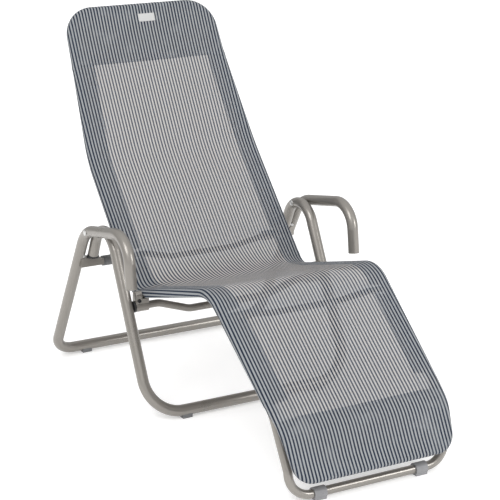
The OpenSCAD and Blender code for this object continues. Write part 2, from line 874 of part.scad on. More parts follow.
foot_clip(-1);  // foot_clip_left
foot_clip(1);  // foot_clip_right
cover();
name_label();
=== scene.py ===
"""Chaise lounge: striped mesh sling, sewn details, finishes and studio around the fixed frame."""

import math
from typing import NamedTuple

import bmesh
import bpy
from bpy.props import FloatProperty, FloatVectorProperty, PointerProperty
from bpy.types import Operator, Panel, PropertyGroup
from mathutils import Matrix, Vector, noise


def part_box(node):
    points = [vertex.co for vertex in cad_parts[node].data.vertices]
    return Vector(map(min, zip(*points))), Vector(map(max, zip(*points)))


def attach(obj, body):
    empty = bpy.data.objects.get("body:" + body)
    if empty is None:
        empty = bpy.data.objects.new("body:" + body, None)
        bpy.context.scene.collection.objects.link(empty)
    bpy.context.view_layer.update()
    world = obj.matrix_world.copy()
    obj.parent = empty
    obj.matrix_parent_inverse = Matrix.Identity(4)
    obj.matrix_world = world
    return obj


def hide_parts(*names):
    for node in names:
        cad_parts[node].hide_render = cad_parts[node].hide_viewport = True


bl_info = {
    "name": "Chaise Lounge",
    "version": (1, 0, 0),
    "blender": (4, 5, 0),
    "location": "3D View > Sidebar > Lounge",
    "description": "Dresses the lounge frame: sling, seams, fasteners, welds, finishes and studio",
    "category": "Object",
}

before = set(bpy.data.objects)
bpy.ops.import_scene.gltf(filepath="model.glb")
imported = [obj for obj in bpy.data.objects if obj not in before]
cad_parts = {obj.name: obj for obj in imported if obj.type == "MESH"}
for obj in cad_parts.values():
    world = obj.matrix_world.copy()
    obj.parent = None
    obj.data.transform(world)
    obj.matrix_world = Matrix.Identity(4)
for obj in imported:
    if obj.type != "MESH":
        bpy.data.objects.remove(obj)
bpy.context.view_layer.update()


# Settings that a user may change


def colour(name, text, value):
    return FloatVectorProperty(
        name=name, description=text, default=value, size=3, min=0, max=1, subtype="COLOR"
    )


def length(name, text, value, low=0.0, high=2.0):
    return FloatProperty(
        name=name, description=text, default=value, min=low, max=high, unit="LENGTH", precision=4
    )


def portion(name, text, value):
    return FloatProperty(
        name=name, description=text, default=value, min=0, max=1, subtype="FACTOR", precision=3
    )


def angle(name, text, value):
    return FloatProperty(name=name, description=text, default=value, subtype="ANGLE")


def amount(name, text, value):
    return FloatProperty(name=name, description=text, default=value, min=0)


class SlingSettings(PropertyGroup):
    pitch: length("Stripe pitch", "Distance from one dark stripe to the next", 0.00927)
    dark_share: portion("Dark share", "Share of the pitch that is dark", 0.5)
    dark: colour("Dark stripe", "Yarn of the dark stripes", (0.010, 0.018, 0.037))
    light: colour("Light stripe", "Yarn of the light stripes", (0.322, 0.342, 0.36))
    backlight: colour("Backlight", "Light that the light yarns let through", (0.92, 0.70, 0.50))
    glow: portion("Glow", "Share of light that the light yarns let through", 0.17)
    openness: portion("Openness", "Share of the mesh that is holes", 0.098)
    seat_close: portion("Seat close", "Share of the holes that close under the seat's pull", 0.75)
    seat_start: length("Seat start", "Where that pull starts, from the head bar", 0.78)
    seat_end: length("Seat end", "Where that pull ends, from the head bar", 1.22)
    yarn: length("Yarn pitch", "Distance between neighbouring yarns", 0.0014)
    sleeve: length("Side sleeve", "Width of the sewn sleeve round each side tube", 0.060)
    head_pocket: length("Head pocket", "Depth of the pocket over the head end", 0.158)
    foot_pocket: length("Foot pocket", "Depth of the pocket over the foot end", 0.146)
    lift: length("Lift", "Middle of the cloth above the tube's surface", 0.0013)
    sag: length("Sag", "How far the middle hangs below the side tubes", 0.005)
    bridge: length("Bridge", "Radius of the tight middle over the seat bend", 0.21)
    pucker: length("Pucker", "Height of the gathers at the seat bend", 0.0016)
    stitch: length("Stitch", "Length of one stitch", 0.0034)
    thread: length("Thread", "Radius of the sewing thread", 0.00032)


class FinishSettings(PropertyGroup):
    tube: colour("Tube paint", "Silver grey powder coat", (0.248, 0.232, 0.211))
    zinc: colour("Zinc", "Rivets and splices", (0.70, 0.70, 0.69))
    rubber: colour("Rubber", "Bumpers and pads", (0.135, 0.137, 0.14))
    clip: colour("Clip plastic", "Clips on the floor bar", (0.225, 0.225, 0.232))
    black: colour("Black", "Bolts, screws, washers and tail plugs", (0.012, 0.012, 0.013))
    label: colour("Label", "Plain woven label", (0.47, 0.47, 0.465))
    seam: colour("Seam thread", "Thread of the sleeves and pockets", (0.16, 0.19, 0.23))
    edging: colour("Label thread", "Thread round the label", (0.55, 0.55, 0.54))


class StudioSettings(PropertyGroup):
    lens: FloatProperty(
        name="Lens", description="Focal length", default=115.0, min=10, max=400, unit="CAMERA"
    )
    yaw: angle("Yaw", "Turn to the right of the row axis", 0.4889)
    pitch: angle("Pitch", "Tilt below the horizon", 0.3038)
    roll: angle("Roll", "Camera roll", 0.0047)
    eye: FloatVectorProperty(
        name="Eye",
        description="Camera position",
        default=(-1.9766, -3.4641, 1.6855),
        size=3,
        subtype="TRANSLATION",
    )
    shift: FloatVectorProperty(
        name="Shift", description="Framing of the picture", default=(0.0988, -0.0159), size=2
    )
    floor: colour("Floor", "Plain pale floor", (0.9, 0.9, 0.9))
    floor_glow: amount("Floor glow", "Light that the floor gives by itself", 0.33)
    floor_size: length("Floor size", "Side of the floor", 16.0, 1, 40)
    sky: amount("Sky", "Light from level with the part", 0.70)
    top: amount("Top", "What is added straight above", 0.4)
    front: amount("Front", "What is taken off from the front to the back", 0.25)
    fall: amount("Fall", "What is taken off from left to right", 0.1)
    key: amount("Key", "Power of the key light", 66.0)
    rim: amount("Rim", "Power of the side light", 36.0)


# Shader maths


class Field:
    """A shader socket that takes part in sums written as Python expressions."""

    def __init__(self, finish, socket):
        self.finish = finish
        self.socket = socket

    def math(self, operation, *others, swap=False):
        values = [self, *others]
        if swap:
            values.reverse()
        return self.finish.add(
            "ShaderNodeMath", {"operation": operation}, dict(enumerate(values))
        )

    def __add__(self, other):
        return self.math("ADD", other)

    __radd__ = __add__

    def __sub__(self, other):
        return self.math("SUBTRACT", other)

    def __rsub__(self, other):
        return self.math("SUBTRACT", other, swap=True)

    def __mul__(self, other):
        return self.math("MULTIPLY", other)

    __rmul__ = __mul__

    def __truediv__(self, other):
        return self.math("DIVIDE", other)

    def __pow__(self, other):
        return self.math("POWER", other)

    def clamp(self):
        return self.math("MAXIMUM", 0.0).math("MINIMUM", 1.0)

    def fract(self):
        return self.math("FRACT")

    def sine(self):
        return self.math("SINE")

    def absolute(self):
        return self.math("ABSOLUTE")

    def between(self, low, high):
        """Low where the field is 0, and high where it is 1."""
        return self * (high - low) + low

    def above(self, edge, steepness):
        """0 below an edge, and 1 from 1 / steepness above it."""
        return ((self - edge) * steepness).clamp()

    def below(self, edge, steepness):
        """0 above an edge, and 1 from 1 / steepness below it."""
        return ((edge - self) * steepness).clamp()


class Finish:
    """A material, and the one method that adds any node to it."""

    kind = "Principled BSDF"

    @staticmethod
    def holder(name):
        return bpy.data.materials.new(name)

    def __init__(self, name, **constants):
        self.material = self.holder(name)
        self.material.use_nodes = True
        self.tree = self.material.node_tree
        self.shader = self.tree.nodes[self.kind]
        self.drive(**constants)

    def add(self, kind, settings=None, inputs=None, out=0):
        node = self.tree.nodes.new(kind)
        for key, value in (settings or {}).items():
            setattr(node, key, value)
        for key, value in (inputs or {}).items():
            self.feed(node.inputs[key], value)
        return Field(self, node.outputs[out])

    def feed(self, socket, value):
        if isinstance(value, Field):
            self.tree.links.new(value.socket, socket)
        else:
            socket.default_value = value

    def drive(self, **fields):
        """Feeds the shader's own sockets, named in small letters with underscores."""
        for key, value in fields.items():
            self.feed(self.shader.inputs[key.replace("_", " ").title()], value)

    def mix(self, factor, a, b):
        """From colour a to colour b as the factor runs from 0 to 1."""
        return self.add(
            "ShaderNodeMix", {"data_type": "RGBA"}, {0: factor, 6: (*a, 1.0), 7: (*b, 1.0)}, 2
        )

    def scaled(self, shade, factor):
        return self.add(
            "ShaderNodeVectorMath", {"operation": "SCALE"}, {0: shade, "Scale": factor}
        )

    def split(self, vector):
        """The three numbers of a vector."""
        parts = self.add("ShaderNodeSeparateXYZ", {}, {0: vector}).socket.node
        return [Field(self, socket) for socket in parts.outputs]

    def noise(self, scale, detail=3.0, roughness=0.5, where=None):
        inputs = {"Scale": scale, "Detail": detail, "Roughness": roughness}
        inputs["Vector"] = where or self.place()
        return self.add("ShaderNodeTexNoise", {}, inputs)

    def place(self):
        return self.add("ShaderNodeTexCoord", {}, {}, "Object")

    def let_through(self, shade, factor):
        """Light from behind comes through where factor is over zero."""
        front = Field(self, self.shader.outputs[0])
        behind = self.add("ShaderNodeBsdfTranslucent", {}, {"Color": (*shade, 1.0)})
        both_ways = self.add("ShaderNodeMixShader", {}, {0: factor, 1: front, 2: behind})
        self.feed(self.tree.nodes["Material Output"].inputs["Surface"], both_ways)

    def bump(self, height, distance, strength):
        normal = self.add(
            "ShaderNodeBump", {}, {"Height": height, "Distance": distance, "Strength": strength}
        )
        self.drive(normal=normal)


class Surround(Finish):
    """The world, whose light is worked out from the direction that it comes from."""

    kind = "Background"

    @staticmethod
    def holder(name):
        return bpy.data.worlds.new(name)


# Finishes


def tinted(shade, factor, more=0.0):
    """A colour made darker or lighter."""
    return [min(1.0, factor * v + more) for v in shade]


def painted_tube(name, shade):
    """Silver grey powder coat: fine orange peel, faint cloudiness, metal flake."""
    coat = Finish(name, metallic=0.6, coat_weight=0.3, coat_roughness=0.16)
    cloud = coat.noise(scale=9.0, detail=4.0)
    flake = coat.noise(scale=2600.0, detail=1.0)
    base = coat.mix(cloud, tinted(shade, 0.93), tinted(shade, 1.06))
    coat.drive(
        base_color=coat.scaled(base, flake.between(0.94, 1.06)),
        roughness=cloud.between(0.22, 0.32) + flake * 0.05,
    )
    coat.bump(coat.noise(scale=900.0, detail=2.0), distance=0.00004, strength=0.5)
    return coat.material


def zinc_plate(name, shade):
    """Zinc plated steel: spangled, a little dull."""
    plate = Finish(name, metallic=1.0)
    spangle = plate.add(
        "ShaderNodeTexVoronoi", {}, {"Scale": 420.0, "Vector": plate.place()}, "Distance"
    )
    plate.drive(
        base_color=plate.mix(spangle.clamp(), tinted(shade, 0.82), shade),
        roughness=spangle.between(0.30, 0.55),
    )
    plate.bump(plate.noise(scale=1500.0), distance=0.00003, strength=0.4)
    return plate.material


def moulded(name, shade, rough, grain):
    """Moulded plastic or rubber: fine spark-eroded grain and handling marks."""
    skin = Finish(name)
    pits = skin.noise(scale=grain, detail=2.0)
    rub = skin.noise(scale=35.0, detail=4.0)
    skin.drive(
        base_color=skin.mix(rub, tinted(shade, 0.85), tinted(shade, 1.2, 0.004)),
        roughness=rub.between(rough - 0.08, rough + 0.08),
    )
    skin.bump(pits, distance=0.00008, strength=0.6)
    return skin.material


def black_oxide(name, shade):
    """Blackened steel: satin, brighter where it is rubbed."""
    steel = Finish(name, metallic=0.4)
    rub = steel.noise(scale=60.0, detail=4.0)
    steel.drive(
        base_color=steel.mix(rub, shade, tinted(shade, 2.2)),
        roughness=rub.between(0.34, 0.52),
    )
    steel.bump(steel.noise(scale=1800.0, detail=2.0), distance=0.00002, strength=0.4)
    return steel.material


# Striped mesh: the name of a point's place on the cloth, how far a stripe's edge wavers, how
# steeply tones change, and the lighter smears on the pockets, which are a painted sheen of
# ripples and also the lower layer's light stripes showing through where the two layers lie loose
CLOTH_PLACE = "cloth_place"
STRIPE_WAVER = 0.0003
STRIPE_STEEPNESS = 14.0
HEM_STEEPNESS = 200.0
SEAT_STEEPNESS = 12.0
SHEEN_AND_SHOW_FROM = 0.54
SHEEN_AND_SHOW_STEEPNESS = 7.0
SHEEN_AND_SHOW_TONE = 0.16


def striped_mesh(name, s, total):
    """Coated yarn mesh: lengthwise stripes, crossing yarns, small holes between them."""
    cloth = Finish(name, sheen_weight=0.03)
    cloth.shader.inputs["Specular IOR Level"].default_value = 0.2
    place = cloth.add("ShaderNodeAttribute", {"attribute_name": CLOTH_PLACE}, {}, "Vector")
    across, along, _ = cloth.split(place)
    waver = cloth.noise(scale=900.0, detail=1.0, where=place) - 0.5
    turn = (across + waver * STRIPE_WAVER) / s.pitch
    edge = (turn.fract() - 0.5).absolute()
    light = ((edge - s.dark_share / 2) * STRIPE_STEEPNESS + 0.5).clamp()
    warp = (across * (2 * math.pi / s.yarn)).sine()
    weft = (along * (2 * math.pi / s.yarn)).sine()
    hole = (warp * weft).between(0.5, 1.0).clamp() ** 2.0
    cloud = cloth.noise(scale=7.0, where=place)
    head = along.below(s.head_pocket, HEM_STEEPNESS)
    foot = along.above(total - s.foot_pocket, HEM_STEEPNESS)
    # Lighter smears on the pockets: a painted sheen of ripples, and the lower layer's light
    # stripes showing through
    patches = cloth.noise(scale=21.0, detail=2.0, roughness=0.4, where=place)
    sheen_and_show_through = patches.above(SHEEN_AND_SHOW_FROM, SHEEN_AND_SHOW_STEEPNESS) * (head + foot)
    shade = cloth.mix(light.math("MAXIMUM", sheen_and_show_through * SHEEN_AND_SHOW_TONE), s.dark, s.light)
    seat = along.above(s.seat_start, SEAT_STEEPNESS) * along.below(s.seat_end, SEAT_STEEPNESS)
    cloth.drive(
        base_color=cloth.scaled(shade, cloud.between(0.94, 1.06) * hole.between(1.06, 0.84)),
        roughness=hole.between(0.62, 0.87),
        alpha=1.0 - hole.between(0.14, 2.44) * s.openness * (1.0 - seat * s.seat_close),
    )
    cloth.bump((1.0 - hole) + warp.absolute() * 0.3, distance=0.00025, strength=0.7)
    cloth.let_through(s.backlight, light * s.glow)
    return cloth.material


def woven_label(name, shade, fineness=5200.0):
    """Plain white woven label."""
    weave = Finish(name, roughness=0.8)
    x, _, z = weave.split(weave.place())
    ribs = ((x * fineness).sine() * (z * fineness).sine()).between(0.5, 1.0)
    weave.drive(base_color=weave.mix(ribs, tinted(shade, 0.93), shade))
    weave.bump(ribs, distance=0.0001, strength=0.5)
    return weave.material


def sewing_thread(name, shade):
    """Twisted thread."""
    twist = Finish(name, roughness=0.65)
    turns = twist.noise(scale=1400.0, detail=1.0)
    twist.drive(base_color=twist.mix(turns, tinted(shade, 0.8), shade))
    twist.bump(turns, distance=0.0001, strength=0.5)
    return twist.material


# Pieces and plain shapes


def new_piece(name, bm, material, smooth=True):
    mesh = bpy.data.meshes.new(name)
    bm.to_mesh(mesh)
    bm.free()
    if smooth:
        mesh.shade_smooth()
    mesh.materials.append(material)
    piece = bpy.data.objects.new(name, mesh)
    bpy.context.scene.collection.objects.link(piece)
    return piece


def paint(nodes, material):
    """The carried-over CAD nodes take a finish."""
    for name in nodes:
        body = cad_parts[name]
        body.data.materials.clear()
        body.data.materials.append(material)


def both(name):
    return [name + "_left", name + "_right"]


def ring(bm, centre, u, v, radius, count):
    """A ring of corners in the plane of u and v."""
    turns = [2 * math.pi * i / count for i in range(count)]
    return [bm.verts.new(centre + (u * math.cos(t) + v * math.sin(t)) * radius) for t in turns]


def join(bm, a, b):
    """A band of faces between two rings."""
    for i in range(len(a)):
        j = (i + 1) % len(a)
        bm.faces.new((a[i], a[j], b[j], b[i]))


def turned(bm, profile, centre, axis, around=32):
    """A turned solid: profile is (distance along the axis, radius) from end to end."""
    z = axis.normalized()
    x = z.orthogonal().normalized()
    y = z.cross(x)
    rings = [ring(bm, centre + z * along, x, y, radius, around) for along, radius in profile]
    for a, b in zip(rings, rings[1:]):
        join(bm, a, b)
    bm.faces.new(rings[0][::-1])
    bm.faces.new(rings[-1])
    return rings


# A domed head's edge as a share of its height, its foot as a share of its radius, and the
# share of a quarter turn that the dome makes
DOME_EDGE_SHARE = 0.35
DOME_FOOT_SHARE = 0.98
DOME_TURN_SHARE = 0.86


def domed(start, radius, height, rim=0.00018, steps=5):
    """Profile of a domed head that grows from start outwards."""
    edge = height * DOME_EDGE_SHARE
    points = [
        (start, radius * DOME_FOOT_SHARE),
        (start + edge * 0.5, radius),
        (start + edge, radius - rim),
    ]
    for i in range(1, steps + 1):
        a = math.pi / 2 * i / steps
        up = start + edge + (height - edge) * math.sin(a)
        points.append((up, radius * math.cos(a * DOME_TURN_SHARE)))
    return points


# Rings of a stitch: share of its length, then height and thickness in thread radii
STITCH_SHARES = ((0.0, -0.3, 0.5), (0.3, 0.6, 1.0), (0.7, 0.6, 1.0), (1.0, -0.3, 0.5))


def stitches(bm, points, normals, stitch, radius, gap=0.0014):
    """A line of stitches laid along points, each standing a little proud of the cloth."""
    done, want = 0.0, gap
    for a, b, n in zip(points, points[1:], normals):
        run = (b - a).length
        if run < 1e-9:
            continue
        t = (b - a) / run
        side = t.cross(n).normalized()
        while want + stitch <= done + run + stitch * 0.5:
            at = a + t * (want - done)
            rings = [
                ring(bm, at + t * stitch * along + n * radius * up, side, n, radius * thick, 4)
                for along, up, thick in STITCH_SHARES
            ]
            for p, q in zip(rings, rings[1:]):
                join(bm, p, q)
            bm.faces.new(rings[0][::-1])
            bm.faces.new(rings[-1])
            want += stitch + gap
        done += run


# The frame that the sling is stretched over


class Bend(NamedTuple):
    """A corner of the side tubes' line: its place, half the width there, and its radius."""

    depth: float
    height: float
    half: float
    radius: float

    @property
    def place(self):
        return Vector((self.depth, self.height))


# Depths run from the rear floor bar, and MIDDLE takes them to the frame's own origin
MIDDLE = 0.5055
HEAD = Bend(0.132, 0.959, 0.220, 0.075)
SEAT_BEND = Bend(-0.371, 0.291, 0.251, 0.050)
FOOT = Bend(-1.145, 0.066, 0.212, 0.045)
BENDS = [
    Bend(0.063, 0.830, 0.2265, 0.470),
    Bend(-0.087, 0.587, 0.2495, 0.470),
    SEAT_BEND,
    Bend(-0.756, 0.411, 0.238, 0.090),
    Bend(-1.037, 0.202, 0.226, 0.300),
    Bend(-1.087, 0.170, 0.228, 0.130),
]
FRAME_R = 0.011
BOW_R = 0.007
CROSSBAR_R = 0.008
# Depths between which the tube steps down to the foot bow
STEP_DOWN = (-1.035, -1.075)
LUMBAR_BAR = -0.293
PIVOT_BRACKET = -0.416
KNEE_BAR = -0.815
BOW_LEG = -1.048
# Slits that let these out of the sleeve: depth and half length
SLITS = [(LUMBAR_BAR, 0.010), (PIVOT_BRACKET, 0.0145), (KNEE_BAR, 0.011), (BOW_LEG, 0.028)]

# How finely the cloth is laid out, and the least distance between two rows
HEAD_STEPS = 14
FOOT_STEPS = 12
STRAIGHT_STEP = 0.009
BEND_STEP = 0.007
LEAST_STEP = 0.0008
COLUMNS = 36
SLEEVE_COLUMNS = 7
# Degrees round a tube, from its top to where the lower layer leaves it
WRAP = [12 * i for i in range(13)]
LEAVES = math.radians(WRAP[-1])
SLIT_FROM = 96
# Distance of the lower layer from the upper one, flat and beside a tube
PLY = 0.0009
UNDER_SHARE = 1.84
# How far the lower layers run past their seams
SLEEVE_OVERLAP = 0.009
POCKET_OVERLAP = 0.006
# Corners of neighbouring patches that lie closer than this become one
SAME_PLACE = 0.00004
# Power of the fall from the tight middle to the side tubes, where 2 is a parabola
BRIDGE_POWER = 2.4

# Gathers at the seat bend: their middle, spread and pitch, the share of them that comes and
# goes, and how the two sides differ; then the swell where the head pocket ends
GATHER_DEPTH = -0.362
GATHER_REACH = 0.042
GATHER_PITCH = 0.0125
GATHER_SHARE = 0.45
SIDE_SHIFT = 0.012
SIDE_TURN = 1.3
HEM_REACH = 0.006
HEM_SWELL = 0.0011


class Row:
    """One cross line of the sling, over both side tubes.

    At a rounded end, corner is the angle that the tube has turned, toward is -1 at the head
    and 1 at the foot, and slack runs from 0 at the bar to 1 where the cloth may sag freely.
    """

    def __init__(self, point, tangent, half, corner=0.0, toward=1.0, slack=1.0):
        self.point = Vector((0.0, point[0] + MIDDLE, point[1]))
        self.tangent = Vector((0.0, tangent[0], tangent[1])).normalized()
        self.normal = Vector((0.0, self.tangent.z, -self.tangent.y))
        if self.normal.z < 0:
            self.normal.negate()
        self.half = half
        self.corner = corner
        self.toward = toward
        self.slack = slack
        self.along = 0.0
        self.rise = Vector()
        self.lean = self.normal

    @property
    def depth(self):
        return self.point.y - MIDDLE

    @property
    def tube(self):
        """Radius of the side tube, which steps down smoothly to the foot bow."""
        start, stop = STEP_DOWN
        share = min(1.0, max(0.0, (start - self.depth) / (start - stop)))
        return FRAME_R + (BOW_R - FRAME_R) * share * share * (3 - 2 * share)


def end_rows(end, inner, toward, steps):
    """Rows of a rounded end, from the bar inwards, and how far in they reach."""
    inwards = inner.place - end.place
    u = inwards.normalized()
    flare = math.atan((inner.half - end.half) / inwards.length)
    middle = end.half - end.radius * math.tan((math.pi / 2 - flare) / 2)
    rows = []
    for k in range(steps + 1):
        c = math.pi / 2 + (flare - math.pi / 2) * k / steps
        place = end.place + u * end.radius * (1 - math.sin(c))
        slack = (1 - math.sin(c)) / (1 - math.sin(flare))
        half = middle + end.radius * math.cos(c)
        corner = c if k < steps else 0.0
        rows.append(Row(place, u * -toward, half, corner, toward, slack))
    return rows, end.radius * (1 - math.sin(flare))


def straight_rows(start, stop, tangent, half_start, half_stop):
    """Rows after start on a straight run, the last one at stop."""
    n = max(1, round((stop - start).length / STRAIGHT_STEP))
    rows = []
    for i in range(1, n + 1):
        f = i / n
        rows.append(Row(start.lerp(stop, f), tangent, half_start + (half_stop - half_start) * f))
    return rows


def spun(v, turn):
    """A flat vector turned by an angle."""
    c, s = math.cos(turn), math.sin(turn)
    return Vector((v.x * c - v.y * s, v.x * s + v.y * c))


def arc_rows(start, centre, tangent, swing, radius, halves):
    """Rows after start round a bend; halves are the half widths at its start, corner and end."""
    n = max(2, round(abs(swing) * radius / BEND_STEP))
    arm = start - centre
    a, b, c = halves
    rows = []
    for i in range(1, n + 1):
        f = i / n
        half = a * (1 - f) ** 2 + b * 2 * f * (1 - f) + c * f * f
        rows.append(Row(centre + spun(arm, swing * f), spun(tangent, swing * f), half))
    return rows


def slit_rows(rows):
    """Adds a row at each end of each slit."""
    for cut in sorted((y + d for y, w in SLITS for d in (-w, w)), reverse=True):
        for k in range(len(rows) - 1):
            a, b = rows[k], rows[k + 1]
            if a.depth > cut > b.depth and min(a.depth - cut, cut - b.depth) > LEAST_STEP:
                f = (a.depth - cut) / (a.depth - b.depth)
                p, t = a.point.lerp(b.point, f), a.tangent.lerp(b.tangent, f)
                half = a.half + (b.half - a.half) * f
                rows.insert(k + 1, Row((p.y - MIDDLE, p.z), (t.y, t.z), half))
                break


def bridge_seat(rows, r):
    """The tight middle crosses the seat bend on a wider arc of radius r."""
    at = BENDS.index(SEAT_BEND)
    a, b, c = (BENDS[k].place for k in (at - 1, at, at + 1))
    u, v = (a - b).normalized(), (c - b).normalized()
    half = math.acos(max(-1, min(1, -u.dot(v)))) / 2
    tight = SEAT_BEND.radius
    reach = half * tight + (r - tight) * math.tan(half)
    inward = (u + v).normalized()
    apex = b + inward * tight * (1 / math.cos(half) - 1)
    home = min(rows, key=lambda row: (Vector((row.depth, row.point.z)) - apex).length).along
    for row in rows:
        t = (row.along - home) / reach
        if abs(t) < 1:
            d = (v - u).normalized() * math.sin(half * t) - inward * math.cos(half * t)
            p = b + inward * r / math.cos(half) + d * r
            row.rise = Vector((0, p.x + MIDDLE, p.y)) - row.point
            row.lean = Vector((0, -d.x, -d.y))


def side_rows(bridge):
    """All rows of the sling from the head bar to the foot bar."""
    rows, head_in = end_rows(HEAD, BENDS[0], -1.0, HEAD_STEPS)
    foot, foot_in = end_rows(FOOT, BENDS[-1], 1.0, FOOT_STEPS)
    last = HEAD.place + (BENDS[0].place - HEAD.place).normalized() * head_in
    last_half = rows[-1].half
    chain = [HEAD, *BENDS, FOOT]
    for before, bend, after in zip(chain, chain[1:], chain[2:]):
        a, b, c = before.place, bend.place, after.place
        u, v = (a - b).normalized(), (c - b).normalized()
        swing = math.acos(max(-1, min(1, -u.dot(v))))
        back = bend.radius * math.tan(swing / 2)
        start = b + u * back
        half_in = bend.half + (before.half - bend.half) * back / (a - b).length
        half_out = bend.half + (after.half - bend.half) * back / (c - b).length
        centre = b + (u + v).normalized() * bend.radius / math.cos(swing / 2)
        if u.x * v.y - u.y * v.x > 0:
            swing = -swing
        rows += straight_rows(last, start, -u, last_half, half_in)
        rows += arc_rows(start, centre, -u, swing, bend.radius, (half_in, bend.half, half_out))
        last, last_half = b + v * back, half_out
    finish = FOOT.place + (BENDS[-1].place - FOOT.place).normalized() * foot_in
    rows += straight_rows(last, finish, finish - last, last_half, foot[-1].half)[:-1]
    rows += reversed(foot)
    slit_rows(rows)
    for a, b in zip(rows, rows[1:]):
        b.along = a.along + (b.point - a.point).length
    bridge_seat(rows, bridge)
    return rows


# The sling


def hollow(row, share, s):
    """Height of the cloth over a row at a share of its half width."""
    return row.tube + s.lift - s.sag * row.slack * (1 - share * share)


def lie(row, share, up):
    """Place at a height over the middle line of a row, at a share of its half width."""
    free = max(0.0, 1 - abs(share) ** BRIDGE_POWER)
    return row.point + row.rise * free + row.normal.lerp(row.lean, free) * up


def gather(row, side, degrees, s):
    """Small gathers where the sleeve turns the inside of the seat bend."""
    near = math.exp(-(((row.depth - GATHER_DEPTH + SIDE_SHIFT * side) / GATHER_REACH) ** 2))
    hem = math.exp(-(((row.along - s.head_pocket) / HEM_REACH) ** 2))
    wave = math.sin(row.along * 2 * math.pi / GATHER_PITCH + side * SIDE_TURN)
    folds = 1 - GATHER_SHARE + GATHER_SHARE * wave
    swell = math.sin(min(math.pi, max(0.0, math.radians(degrees))))
    return swell * (s.pucker * near * folds + HEM_SWELL * hem)


def top_point(row, share, s):
    """Place and cloth coordinates on the upper layer."""
    across = share * row.half
    place = lie(row, share, hollow(row, share, s)) + Vector((across, 0, 0))
    return place, (across, row.along, 0.0)


def wrap_point(row, side, degrees, s):
    """Place and cloth coordinates on the outside of a side tube; 0 degrees is its top."""
    a = math.radians(degrees)
    r = row.tube + s.lift + gather(row, side, degrees, s)
    out = r * math.sin(a)
    place = (
        row.point
        + row.normal * r * math.cos(a)
        + row.tangent * row.toward * out * math.sin(row.corner)
        + Vector((side * (row.half + out * math.cos(row.corner)), 0, 0))
    )
    arc = (row.tube + s.lift) * a
    across = side * (row.half + arc * math.cos(row.corner))
    return place, (across, row.along + row.toward * arc * math.sin(row.corner), 0.0)


def under_depth(row, x, total, s):
    """Share of the tube's thickness between the two layers of cloth."""
    edge = row.half + row.tube
    side = 1 - (edge - abs(x)) / s.sleeve
    head = 1 - row.along / s.head_pocket
    foot = 1 - (total - row.along) / s.foot_pocket
    return max(side, head, foot, 0.0)


def under_point(row, x, total, s):
    """Place and cloth coordinates on the lower layer."""
    share = x / row.half
    r = row.tube + s.lift
    gap = min(1.0, under_depth(row, x, total, s))
    up = hollow(row, share, s) - PLY - UNDER_SHARE * r * gap
    end = r * math.sin(LEAVES) * math.sin(row.corner) * row.toward
    arc = r * LEAVES
    place = lie(row, share, up) + row.tangent * end + Vector((x, 0, 0))
    return place, (x, row.along + row.toward * arc * math.sin(row.corner), 0.0)


def over_bar(row, share, degrees, s):
    """Place and cloth coordinates where the cloth turns over an end bar."""
    a = math.radians(degrees)
    r = row.tube + s.lift
    flatten = hollow(row, share, s) - r
    place = (
        row.point
        + row.normal * (r * math.cos(a) + flatten * (1 - degrees / WRAP[-1]))
        + row.tangent * row.toward * r * math.sin(a)
        + Vector((share * row.half, 0, 0))
    )
    return place, (share * row.half, row.along + row.toward * r * a, 0.0)


